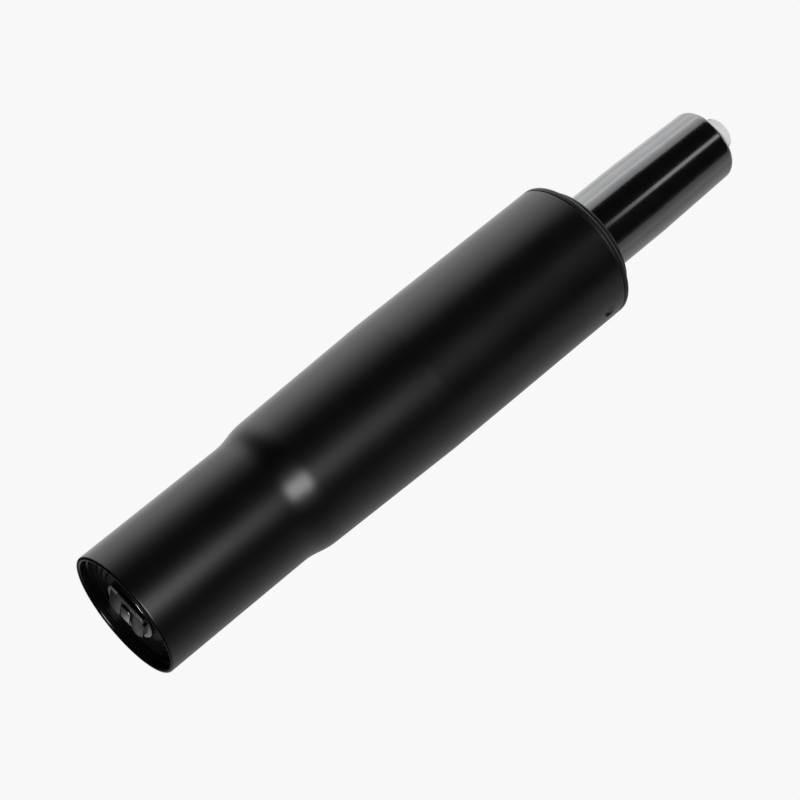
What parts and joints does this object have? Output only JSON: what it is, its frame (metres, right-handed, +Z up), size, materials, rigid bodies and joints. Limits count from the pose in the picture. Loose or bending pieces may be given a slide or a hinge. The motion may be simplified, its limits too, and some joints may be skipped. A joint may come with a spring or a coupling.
{
  "type": "chair gas lift cylinder",
  "caption": "Gas lift cylinder for a swivel chair: a tapered steel column with a sliding, swivelling gas spring stem, a lower thrust bearing and a release button on top.",
  "frame": {"origin": "centre of the column's bottom rim, with the cylinder standing upright at its lowest setting", "axes": "+Z up the cylinder's axis towards the seat; -Y towards the viewer of the reference picture; +X completes the frame"},
  "size_m": [0.05, 0.05, 0.2682],
  "materials": {
    "column_paint": "satin black powder coat",
    "plate_steel": "dark coated pressed steel",
    "bush_plastic": "black moulded acetal",
    "bearing_steel": "hardened and ground",
    "ball_steel": "polished",
    "cage_brass": "pressed sheet",
    "rod_chrome": "hard chrome",
    "stem_chrome": "glossy black chrome",
    "rubber": "moulded rubber",
    "black_steel": "black oxide steel",
    "clip_steel": "dark spring steel",
    "tube_steel": "drawn steel",
    "aluminium": "turned",
    "ring_plastic": "natural moulded plastic",
    "button_plastic": "pale moulded plastic"
  },
  "bodies": {
    "column": {"column_tube": "column_paint", "end_plate": "plate_steel", "guide_bush": "bush_plastic", "lower_race": "bearing_steel"},
    "bearing_cage": {"ball_cage": "cage_brass", "bearing_balls": "ball_steel"},
    "rod": {"upper_race": "bearing_steel", "piston_rod": "rod_chrome", "bump_stop": "rubber", "clip_washer": "bearing_steel", "retaining_clip": "clip_steel", "piston": "aluminium", "piston_seal": "rubber", "piston_guide_ring": "ring_plastic", "piston_washer": "bearing_steel"},
    "gas_spring": {"pressure_tube": "stem_chrome", "inner_tube": "tube_steel", "support_washer": "tube_steel", "rod_guide": "bush_plastic", "rod_seal": "rubber", "tube_seat": "ring_plastic", "valve_body": "aluminium", "inner_tube_seal": "rubber", "stem_seal": "rubber", "pin_seal": "rubber", "button_guide": "black_steel"},
    "release_pin": {"valve_pin": "tube_steel", "poppet_seal": "rubber", "release_button": "button_plastic"}
  },
  "joints": [
    {"name": "rod_swivel", "type": "hinge", "parent": "column", "child": "rod", "pos_m": [0, 0, 0.009], "axis": [0, 0, 1], "continuous": true},
    {"name": "cage_spin", "type": "hinge", "parent": "column", "child": "bearing_cage", "pos_m": [0, 0, 0.009], "axis": [0, 0, 1], "continuous": true},
    {"name": "lift", "type": "slide", "parent": "rod", "child": "gas_spring", "axis": [0, 0, 1], "range_m": [0, 0.13]},
    {"name": "button_press", "type": "slide", "parent": "gas_spring", "child": "release_pin", "axis": [0, 0, -1], "range_m": [0, 0.0035], "stiffness_N_per_m": 1500, "springref_m": -0.01}
  ],
  "couplings": [
    {"joint": "cage_spin", "follows": "rod_swivel", "ratio": 0.5}
  ]
}
